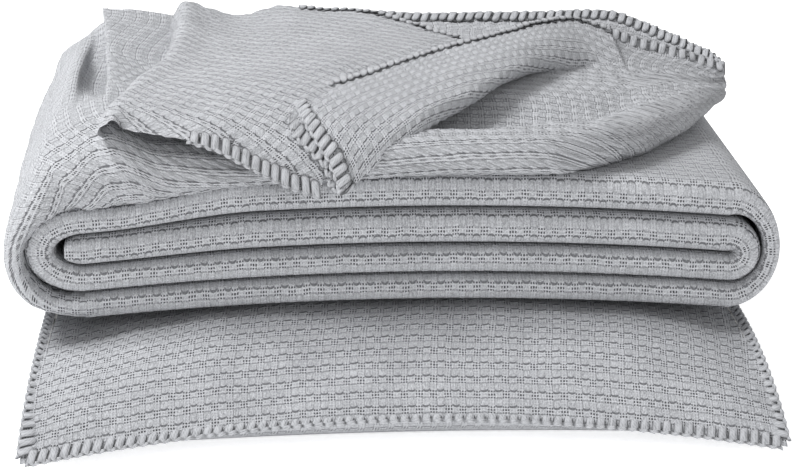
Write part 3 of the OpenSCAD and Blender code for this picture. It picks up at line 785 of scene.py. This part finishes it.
# The rolled leaves
leafShape = {
    "plyShare": 0.235,       # thickness of a ply against its leaf
    "frontReach": 0.62,      # how far the front fold bulges, against the leaf's thickness
    "frontGap": 0.065,       # share of its thickness that a leaf loses at its front
    "fine": 1.9 * mm,
    "coarse": 16 * mm,
    "fineDepth": 34 * mm,    # how far back the fine mesh of the front reaches
    "partDepth": 18 * mm,    # over what depth the leaves part at the front
    "uneven": 0.7 * mm,
    "squareOut": 0.72,       # powers that make the front fold squarer than a half circle
    "squareUp": 0.8,
}


def plyPath(thickness, topFine):
    # Middle line of the four-ply fold across the throw, as (y, height) for one leaf: from a free edge
    # forward along the inner side, round the front fold, back along the outer side, round a small rear
    # fold, forward inside, round the inner front fold and back to the other free edge.
    outer, small = 0.375 * thickness, 0.125 * thickness
    reach = leafShape["frontReach"] * thickness
    fineEnd = frontY + leafShape["fineDepth"]
    bend, innerBend = frontY + reach, frontY + reach + 0.3 * thickness
    turn = np.linspace(-math.pi / 2, math.pi / 2, 19)[1:-1]
    smallTurn = np.linspace(-math.pi / 2, math.pi / 2, 8)[1:-1]
    coarseCount = int((backY - frontY) / leafShape["coarse"])
    fineCount = int(24 * mm / leafShape["fine"])
    topCount = int((backY - fineEnd) / leafShape["fine"]) if topFine else coarseCount
    rearY = backY - small
    parts = [
        (np.linspace(backY, fineEnd, coarseCount), -outer, 0),
        (np.linspace(fineEnd, bend, fineCount)[1:], -outer, 1),
        (bend - (reach - small) * np.cos(turn) ** leafShape["squareOut"],
         outer * np.sign(turn) * np.abs(np.sin(turn)) ** leafShape["squareUp"], 1),
        (np.linspace(bend, fineEnd, fineCount)[:-1], outer, 1),
        (np.linspace(fineEnd, rearY, topCount), outer, float(topFine)),
        (rearY + small * np.cos(smallTurn), 2 * small - small * np.sin(smallTurn), 0),
        (np.linspace(rearY, innerBend, coarseCount), small, 0),
        (innerBend - small * np.cos(smallTurn), -small * np.sin(smallTurn), 0),
        (np.linspace(innerBend, backY, coarseCount), -small, 0),
    ]
    y, h, rough = (np.concatenate([np.broadcast_to(np.asarray(part[k], float), part[0].shape)
                                   for part in parts]) for k in range(3))
    return y, h, rough


def sweepSection(path, topFine=False, retreat=0.0):
    # The four-ply section carried along a path in the XZ plane, as points of a grid, cloth metres and
    # normals. The section's height axis is the path's outward direction and its thickness follows
    # the path; retreat is the share of its depth by which the front stands back.
    pathX, pathZ, outX, outZ, thickness = path
    count = len(pathX)
    sections = [plyPath(t, topFine) for t in thickness]
    y, h = (np.stack([section[k] for section in sections]) for k in (0, 1))
    rough = sections[0][2]
    h = h * (1 - leafShape["frontGap"] * np.exp((frontY - y) / leafShape["partDepth"]))
    y = backY - (backY - y) * (1 - np.broadcast_to(retreat, (count,))[:, None])
    dy, dh = np.gradient(y, axis=1), np.gradient(h, axis=1)
    size = np.maximum(np.hypot(dy, dh), 1e-9)
    half = (thickness * leafShape["plyShare"] / 2)[:, None]
    ny, nh = dh / size, -dy / size
    v = lengthsAlong(np.stack([y, h], axis=-1), 1)
    v = v - v[:, y[0].argmin()][:, None] + cloth["pitchV"] / 2  # an open stripe runs along the front
    along = lengthsAlong(np.stack([pathX, pathZ], axis=-1), 0)
    u = np.broadcast_to(along[:, None], v.shape)
    lift = (weaveRelief(u, v) - cloth["relief"] / 2 + softUneven(u, v, leafShape["uneven"], 11)) * rough
    sides = []
    for sign in (1, -1):
        offset = half * sign + (lift if sign == 1 else 0)
        yy, hh = y + ny * offset, h + nh * offset
        sides.append(np.stack([pathX[:, None] + outX[:, None] * hh, yy,
                               pathZ[:, None] + outZ[:, None] * hh], axis=-1))
    ring = np.concatenate([sides[0], sides[1][:, ::-1]], axis=1)
    ringUv = np.stack([np.concatenate([part, part[:, ::-1]], axis=1) for part in (u, v)], axis=-1)
    closed = np.concatenate([ring[:, -1:], ring, ring[:, :1]], axis=1)
    normals = unit(np.cross(np.gradient(closed, axis=1), np.gradient(closed, axis=0))[:, 1:-1])
    middle = np.stack([pathX[:, None] + outX[:, None] * h, y, pathZ[:, None] + outZ[:, None] * h], axis=-1)
    outward = ring - np.concatenate([middle, middle[:, ::-1]], axis=1)
    return ring, ringUv, normals * np.sign((normals * outward).sum())


def addPlies(name, swept, start, end, node, body="throw"):
    # the stretch of a swept section from station start to station end, closed at both ends
    ring, ringUv, normals = (part[start:end + 1] for part in swept)
    count, n = ring.shape[:2]
    k = np.arange(n // 2 - 1)
    cap = np.stack([k, n - 1 - k, n - 2 - k, k + 1], axis=-1)
    faces = np.concatenate([gridFaces(count, n, closedColumns=True), cap, cap[:, ::-1] + (count - 1) * n])
    corners = ring.reshape(-1, 3)[faces[:, :3]]
    faceWay = np.cross(corners[:, 1] - corners[:, 0], corners[:, 2] - corners[:, 0])
    if (faceWay * normals.reshape(-1, 3)[faces[:, 0]]).sum() < 0:
        faces = faces[:, ::-1]
    plies = addMesh(name, ring, faces, ringUv, throwWeave, body, node)
    plies.data.normals_split_custom_set_from_vertices(normals.reshape(-1, 3))
    return plies


def leafPath(node, side, start, end):
    # straight run of a leaf, arched; side is +1 where its outer face looks up
    x = np.linspace(start, end, int(abs(end - start) / leafShape["fine"]))
    low, high = leafLevels(node, x)
    flat = np.ones_like(x)
    return x, (low + high) / 2, flat * 0, flat * side, high - low


def turnPath(x, start, end, side, reach, thin):
    # half an oval from one leaf's middle height to another's; the thickness goes from one leaf's
    # to the other's and is thin at the middle of the turn
    heights = [sum(leafLevels(n, x)) / 2 for n in (start, end)]
    widths = [leafLevels(n, x)[1] - leafLevels(n, x)[0] for n in (start, end)]
    middle, radius = (heights[0] + heights[1]) / 2, (heights[1] - heights[0]) / 2
    count = int(math.pi * (abs(radius) + reach) / 2 / leafShape["fine"]) + 4
    t = np.linspace(-math.pi / 2, math.pi / 2, count)[1:-1]
    px = x + side * reach * np.cos(t)
    pz = middle + radius * np.sin(t)
    outX, outZ = side * np.cos(t) / reach, np.sin(t) / radius
    size = np.hypot(outX, outZ)
    share = (np.sin(t) + 1) / 2
    thickness = (widths[0] * (1 - share) + widths[1] * share) * (1 - np.cos(t)) + thin * np.cos(t)
    return px, pz, outX / size, outZ / size, thickness


turnShape = {
    "coreReach": 12 * mm, "coreThin": 21 * mm,
    "innerLeftReach": 28.5 * mm, "innerLeftThin": 21 * mm,
    "outerRightReach": 28.5 * mm, "outerRightThin": 11.8 * mm,
    "noseReach": 14 * mm,
}


def nosePath():  # the roll starts in a rounded nose: the thickness is that of half an oval
    reach = turnShape["noseReach"]
    t = np.linspace(0.12, 1, 12)[:-1]
    x = leftX - reach * (1 - t)
    low, high = leafLevels("core_leaf", leftX)
    thickness = (high - low) * np.sqrt(1 - (1 - t) ** 2)
    flat = np.ones_like(x)
    return x, flat * (low + high) / 2, flat * 0, flat, thickness


def spiralPath():
    # the roll from its nose outwards: core leaf, core turn, lower leaf, inner left turn, upper leaf,
    # outer right turn, bottom leaf; returns the path and the station where each part ends
    parts = [
        nosePath(),
        leafPath("core_leaf", 1, leftX, rightX),
        turnPath(rightX, "core_leaf", "lower_leaf", 1, turnShape["coreReach"], turnShape["coreThin"]),
        leafPath("lower_leaf", -1, rightX, leftX),
        turnPath(leftX, "lower_leaf", "upper_leaf", -1, turnShape["innerLeftReach"],
                 turnShape["innerLeftThin"]),
        leafPath("upper_leaf", 1, leftX, rightX),
        turnPath(rightX, "upper_leaf", "bottom_leaf", 1, turnShape["outerRightReach"],
                 turnShape["outerRightThin"]),
        leafPath("bottom_leaf", -1, rightX, leftX),
    ]
    ends = np.cumsum([len(part[0]) for part in parts])
    return [np.concatenate([part[k] for part in parts]) for k in range(5)], ends


spiral, partEnds = spiralPath()
swept = sweepSection(spiral)
sweptNames = ["coreLeaf", "coreTurn", "lowerLeaf", "innerLeftTurn", "upperLeaf", "outerRightTurn",
              "bottomLeaf"]
sweptNodes = ["core_leaf", "core_turn", "lower_leaf", "inner_left_turn", "upper_leaf", "outer_right_turn",
              "bottom_leaf"]
start = 0
for name, node, end in zip(sweptNames, sweptNodes, partEnds[1:]):
    addPlies(name, swept, start, min(end, partEnds[-1] - 1), node)
    start = end


innerShape = {
    "left": -160 * mm,
    "right": 240 * mm,
    "gap": 0.6 * mm,         # above the upper leaf
    "thickness": 13 * mm,
    "setback": 14 * mm,      # behind the loose cloth's front
    "slantStart": 82 * mm,   # from here to the right the setback grows
    "slant": 0.088,
    "slantPower": 1.55,
}


def topLeafPath():
    # the plies inside the top leaf: they start clear of the turn so that the leaf can swing open over
    # it, are thinner than the leaf, stand back from the loose cloth at the front and are cut aslant
    # at the right (the setback grows with a power of the distance)
    left, right = innerShape["left"], innerShape["right"]
    x = np.linspace(left, right, int((right - left) / leafShape["fine"]))
    low = leafLevels("upper_leaf", x)[1] + innerShape["gap"]
    high = low + innerShape["thickness"]
    past = np.clip(x - innerShape["slantStart"], 0, None) / mm
    setback = innerShape["setback"] + innerShape["slant"] * past ** innerShape["slantPower"] * mm
    flat = np.ones_like(x)
    return (x, (low + high) / 2, flat * 0, flat, high - low), setback / (backY - frontY)


innerPath, innerRetreat = topLeafPath()
innerSwept = sweepSection(innerPath, retreat=innerRetreat)
addPlies("topLeafPlies", innerSwept, 0, len(innerPath[0]) - 1, "top_leaf", body="top_leaf")
print("leaves made")

# the free edges of the strip, stitched, at the back of each leaf
stitchedLeaves = (("bottom_leaf", -1), ("lower_leaf", -1), ("core_leaf", 1), ("upper_leaf", 1))
for seed, (node, side) in enumerate(stitchedLeaves):
    x, z, _, out, thickness = leafPath(node, side, leftX, rightX)
    back = np.stack([x, np.full_like(x, backY), z - 0.375 * out * thickness], axis=-1)
    forward = np.tile((0.0, -1.0, 0.0), (len(x), 1))
    up = np.tile((0.0, 0.0, 1.0), (len(x), 1))
    name = sweptNames[sweptNodes.index(node)] + "BackStitches"
    stitchRun(name, back, forward, up, "throw", "back_edging", seed + 60)

# The loose top. Control points are x, y and the height above the upper leaf's crown, in millimetres.


def wrapColumn(outX, outZ, inX, inZ):
    # one line of the outer wrap, from the back edge forward on the outside, round the soft front
    # and a little way back on the inside
    shares = (0, 0, 0, 0, 0, 0.08, 0.3, 0.68, 0.95, 1)
    depths = (176, 110, 40, -40, -112, -138, -149.5, -150.5, -141, -120)
    return [(outX + (inX - outX) * s, y, outZ + (inZ - outZ) * s) for s, y in zip(shares, depths)]


topCloth = [
    wrapColumn(-196, -97, -196, -77),
    wrapColumn(-212, -96, -208, -78),
    wrapColumn(-228, -92, -219, -79),
    wrapColumn(-243, -85, -228, -76),
    wrapColumn(-252, -74, -236, -69),
    wrapColumn(-256.5, -58, -241, -58),
    wrapColumn(-255, -41, -240, -47),
    wrapColumn(-249, -26, -231, -38),
    wrapColumn(-240, -8, -219, -30),
    wrapColumn(-231, 12, -206, -26),
    [(-213, 176, 24), (-214, 110, 27), (-215, 40, 29), (-217, -40, 28), (-221, -105, 25),
     (-222, -135, 18), (-216, -152, 4), (-206, -156, -10), (-198, -148, -21), (-194, -125, -22)],
    [(-204, 176, 32), (-204, 110, 20), (-205, 40, 17), (-206, -40, 27), (-208, -100, 33),
     (-206, -133, 28), (-202, -152, 12), (-194, -158, -6), (-186, -150, -18), (-182, -125, -19)],
    [(-190, 177, 42), (-188, 112, 26), (-186, 40, 16), (-192, -40, 29), (-197, -100, 37),
     (-195, -132, 33), (-192, -152, 17), (-184, -159, -2), (-175, -151, -16), (-172, -125, -17)],
    [(-201, 168, 47), (-197, 110, 44), (-193, 40, 40), (-189, -40, 36), (-188, -105, 39),
     (-186, -136, 37), (-183, -153, 22), (-174, -160, 2), (-165, -152, -15), (-162, -125, -15)],
    [(-183, 174, 45), (-181, 110, 42), (-180, 40, 38), (-179, -40, 35), (-178, -105, 36),
     (-176, -135, 33), (-171, -153, 20), (-164, -160, 1), (-155, -152, -13), (-152, -125, -14)],
    [(-165, 175, 42), (-164, 110, 38), (-164, 40, 34), (-165, -40, 31), (-165, -105, 29),
     (-162, -136, 25), (-157, -153, 15), (-150, -159, 0), (-144, -151, -11), (-141, -125, -12)],
    [(-148, 176, 38), (-147, 110, 34), (-147, 40, 31), (-147, -40, 28), (-146, -105, 26),
     (-143, -137, 22), (-139, -153, 13), (-134, -158, 0), (-129, -150, -9), (-127, -125, -10)],
    [(-108, 176, 33), (-107, 110, 30), (-107, 40, 29), (-107, -40, 27), (-106, -105, 24),
     (-103, -137, 20), (-101, -152, 11), (-98, -156, 1), (-95, -149, -7), (-94, -125, -7)],
    [(-60, 176, 32), (-60, 110, 30), (-60, 40, 28), (-60, -40, 25), (-60, -105, 22),
     (-60, -136, 22), (-60, -151, 13), (-60, -155, 3), (-60, -148, -5), (-60, -125, -5)],
    [(0, 170, 33), (0, 110, 32), (0, 40, 30), (0, -40, 26), (0, -105, 19),
     (0, -132, 24), (0, -151, 17), (0, -156, 5), (0, -148, -2), (0, -125, -2)],
    [(50, 165, 34), (52, 105, 32), (54, 30, 31), (55, -45, 28), (56, -108, 16),
     (56, -130, 24), (56, -150, 19), (56, -157, 6), (56, -148, -2), (56, -125, -2)],
    [(88, 140, 36), (90, 90, 34), (94, 25, 32), (98, -40, 27), (101, -100, 15),
     (103, -123, 24), (105, -146, 19), (107, -153, 6), (106, -146, -2), (102, -124, -2)],
    [(120, 118, 42), (122, 80, 36), (125, 30, 29), (130, -30, 25), (134, -84, 16),
     (138, -106, 23), (142, -125, 18), (143, -131, 5), (138, -124, -4), (130, -108, -4)],
    [(146, 104, 47), (148, 76, 40), (152, 35, 27), (155, -15, 23), (158, -58, 16),
     (161, -79, 21), (167, -96, 15), (170, -100, 3), (163, -93, -6), (154, -82, -6)],
    [(172, 101, 40), (174, 75, 34), (176, 40, 24), (177, 0, 20), (178, -30, 19),
     (182, -50, 18), (190, -62, 12), (194, -64, 1), (186, -57, -7), (175, -48, -8)],
    [(197, 100, 31), (198, 78, 27), (199, 50, 21), (200, 22, 18), (202, 0, 16),
     (206, -16, 15), (213, -24, 8), (215, -24, -1), (207, -18, -9), (196, -12, -10)],
    [(222, 97, 24), (223, 82, 21), (223, 62, 17), (224, 44, 14), (226, 32, 13),
     (230, 28, 11), (236, 25, 5), (236, 25, -1), (228, 30, -6), (216, 34, -8)],
    [(243, 94, 17), (244, 86, 15), (245, 76, 12), (246, 68, 9), (248, 62, 7),
     (251, 63, 5), (253, 62, 1), (251, 63, -3), (244, 67, -6), (232, 70, -8)],
    [(256, 92, 12), (256, 90, 11), (256, 88, 9), (257, 86, 7), (257, 84, 5),
     (256, 82, 2), (255, 82, -1), (252, 82, -4), (246, 84, -6), (238, 86, -8)],
]
# from the tucked left side over the standing ridge to the edge under the turned corner, back to front
flapStarts = 45, 60  # grid lines where the stitches of its front and back edge begin
flapCloth = [
    [(-150, 150, 35), (-150, 60, 32), (-155, -10, 29), (-167, -50, 28),
     (-177, -90, 29), (-186, -128, 30), (-184, -148, 26)],
    [(-146, 151, 47), (-147, 60, 47), (-153, -10, 44), (-165, -50, 42),
     (-176, -90, 41), (-187, -130, 39), (-192, -154, 32)],
    [(-140, 152, 54), (-141, 60, 55), (-147, -10, 52), (-160, -50, 50),
     (-171, -90, 48), (-181, -130, 44), (-184, -158, 40)],
    [(-124, 156, 49), (-120, 60, 50), (-126, -10, 50), (-141, -55, 48),
     (-156, -97, 46), (-166, -137, 41), (-174, -155, 34)],
    [(-100, 160, 42), (-95, 60, 47), (-100, -10, 49), (-112, -60, 48),
     (-128, -105, 44), (-141, -140, 38), (-150, -158, 30)],
    [(-66, 165, 48), (-60, 70, 49), (-70, 0, 50), (-85, -60, 49),
     (-103, -115, 43), (-113, -148, 34), (-118, -162, 23)],
    [(-36, 150, 48), (-30, 80, 49), (-40, 0, 50), (-60, -65, 49),
     (-82, -120, 41), (-95, -152, 27), (-101, -164, 14)],
    [(-4, 130, 49), (0, 75, 48), (-10, 10, 49), (-35, -60, 48),
     (-65, -125, 39), (-78, -156, 20), (-84, -165, 5)],
    [(30, 95, 46), (35, 60, 46), (15, 0, 46), (-15, -60, 44),
     (-52, -128, 36), (-63, -158, 15), (-67, -166, -3)],
    [(58, 62, 44), (58, 45, 44), (38, 0, 43), (5, -55, 41),
     (-38, -124, 32), (-48, -158, 9), (-50, -166, -9)],
]
# the turned corner: each line goes from the long edge over the roll, round its low side and back under
cornerCloth = [
    [(-66, -105, 41), (-58, -140, 33), (-49, -155, 21), (-41, -164, 8), (-37, -168, -6),
     (-42, -165, -4), (-46, -161, 8), (-55, -156, 18), (-65, -149, 27), (-69, -135, 35)],
    [(-48, -87, 43), (-44, -125, 39), (-37, -148, 28), (-30, -160, 12), (-28, -164, -2),
     (-33, -158, 1), (-37, -152, 12), (-42, -142, 24), (-48, -125, 33), (-52, -100, 36)],
    [(-22, -60, 45), (-20, -105, 43), (-15, -135, 34), (-10, -152, 20), (-12, -153, 8),
     (-17, -146, 10), (-21, -136, 20), (-26, -115, 30), (-30, -90, 35), (-33, -70, 36)],
    [(9, -30, 47), (9, -75, 47), (12, -110, 41), (15, -132, 31), (11, -138, 21),
     (5, -130, 22), (0, -115, 28), (-4, -95, 32), (-7, -70, 36), (-8, -50, 37)],
    [(40, 3, 49), (42, -40, 50), (46, -75, 46), (49, -95, 36), (44, -97, 28),
     (38, -88, 28), (34, -75, 31), (30, -55, 34), (28, -35, 37), (26, -20, 38)],
    [(70, 30, 50), (73, -8, 52), (78, -36, 49), (82, -50, 41), (77, -48, 34),
     (71, -40, 33), (66, -28, 35), (62, -15, 37), (58, 0, 38), (56, 12, 39)],
    [(97, 60, 50), (101, 28, 52), (106, 5, 49), (110, -6, 39), (106, -2, 32),
     (100, 6, 32), (95, 15, 34), (90, 27, 36), (86, 38, 37), (84, 48, 38)],
    [(123, 85, 50), (127, 60, 50), (131, 38, 45), (134, 25, 34), (131, 24, 27),
     (126, 30, 27), (121, 38, 29), (116, 48, 31), (112, 60, 33), (110, 70, 34)],
    [(147, 104, 48), (150, 80, 45), (154, 58, 37), (157, 44, 28), (156, 40, 23),
     (152, 42, 21), (148, 50, 21), (144, 58, 22), (140, 68, 24), (138, 80, 26)],
    [(170, 101, 41), (172, 83, 37), (174, 62, 31), (175, 46, 25), (176, 40, 22),
     (173, 42, 19), (170, 50, 18), (167, 58, 18), (164, 70, 20), (162, 80, 22)],
]
# the ply behind, from its stitched far edge forward
farCloth = [
    [(-15, 172, 41), (-20, 120, 40), (-25, 70, 37)],
    [(40, 176, 37), (35, 130, 37), (30, 80, 37)],
    [(101, 178, 36), (95, 140, 37), (85, 90, 37)],
    [(140, 178, 37), (138, 145, 38), (130, 100, 37)],
    [(169, 177, 37), (166, 150, 37), (158, 108, 35)],
    [(189, 174, 35), (186, 145, 33), (178, 105, 31)],
    [(206, 166, 30), (203, 140, 28), (195, 102, 25)],
    [(224, 152, 25), (222, 130, 23), (215, 100, 19)],
    [(241, 136, 19), (240, 120, 17), (235, 98, 13)],
    [(253, 124, 14), (252, 112, 11), (249, 97, 7)],
    [(259, 108, 9), (257, 102, 6), (254, 92, 2)],
]

looseShape = {
    "topStep": 1.95 * mm,      # from grid line to grid line of each sheet
    "flapStep": 1.8 * mm,
    "farStep": 2.0 * mm,
    "uneven": 0.6 * mm,        # slow rise and fall of the top and the flap
    "cornerUneven": 0.5 * mm,
    "farUneven": 0.4 * mm,
    "flapTurn": 32,            # degrees by which the flap's weave lies aslant
    "stitchedFrom": 0.82,      # share of the top's length after which its back edge is stitched
    "topDip": 5 * mm,          # how far the cloth dips inside a stitched far edge
    "farDip": 6.5 * mm,
    "dipReach": 6 * mm,
}
topSheet, topUv, topNormals, topCut = clothFromControl(topCloth, looseShape["topStep"],
                                                       looseShape["uneven"], 31, turn=0)
rightPart = int(topSheet.shape[0] * looseShape["stitchedFrom"])
topSheet[rightPart:] = curlEdge(topSheet[rightPart:], looseShape["topDip"], looseShape["dipReach"])
topNormals[rightPart:] = gridNormals(topSheet[rightPart:])
topPiece = addCloth("topCloth", topSheet, topUv, throwWeave, None, ["draped_plies", "hump_outer",
                    "outer_left_turn", "opening_turn"])
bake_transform(topPiece)

flapSheet, flapUv, flapNormals, flapCut = clothFromControl(
    flapCloth, looseShape["flapStep"], looseShape["uneven"], 32, turn=looseShape["flapTurn"])
flapPiece = addCloth("flapCloth", flapSheet, flapUv, throwWeave, "top_leaf",
                     ["front_flap", "hump_inner", "corner_fold_tip"])
front, rear = flapStarts
stitchRun("flapStitches", *borderOf(flapSheet[front:], flapNormals[front:], 1, True), "top_leaf",
          "flap_edging", 41)
stitchRun("flapBackStitches", *borderOf(flapSheet[rear:], flapNormals[rear:], 1, False), "top_leaf", None, 42)

cornerSheet, cornerUv, cornerNormals, cornerCut = clothFromControl(
    cornerCloth, looseShape["flapStep"], looseShape["cornerUneven"], 33)
cornerPiece = addCloth("cornerCloth", cornerSheet, cornerUv, throwWeave, "turned_corner",
                       "turned_corner")
stitchRun("cornerLongStitches", *borderOf(cornerSheet, cornerNormals, 1, False), "turned_corner",
          "corner_long_edging", 43)
stitchRun("cornerShortStitches", *borderOf(cornerSheet, cornerNormals, 0, False), "turned_corner",
          "corner_short_edging", 44)

farSheet, farUv, _, farCut = clothFromControl(farCloth, looseShape["farStep"], looseShape["farUneven"], 34)
farSheet = curlEdge(farSheet, looseShape["farDip"], looseShape["dipReach"])
farNormals = gridNormals(farSheet)
farPiece = addCloth("farCloth", farSheet, farUv, throwWeave, "top_leaf", None)
stitchRun("farStitches", *borderOf(farSheet, farNormals, 1, False), "top_leaf", "far_edging", 45)
stitchRun("topBackStitches", *borderOf(topSheet[rightPart:], topNormals[rightPart:], 1, False), "top_leaf",
          "top_back_edging", 46)
print("loose top made")

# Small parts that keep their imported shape
zipLooks = {"zip_tape_upper": tapeCloth, "zip_tape_lower": tapeCloth, "zip_coil": coilPlastic,
            "zip_slider": zipMetal, "zip_pull": zipMetal}
for node, material in zipLooks.items():
    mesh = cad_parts[node].data
    mesh.materials.clear()
    mesh.materials.append(material)
print("zip dressed")
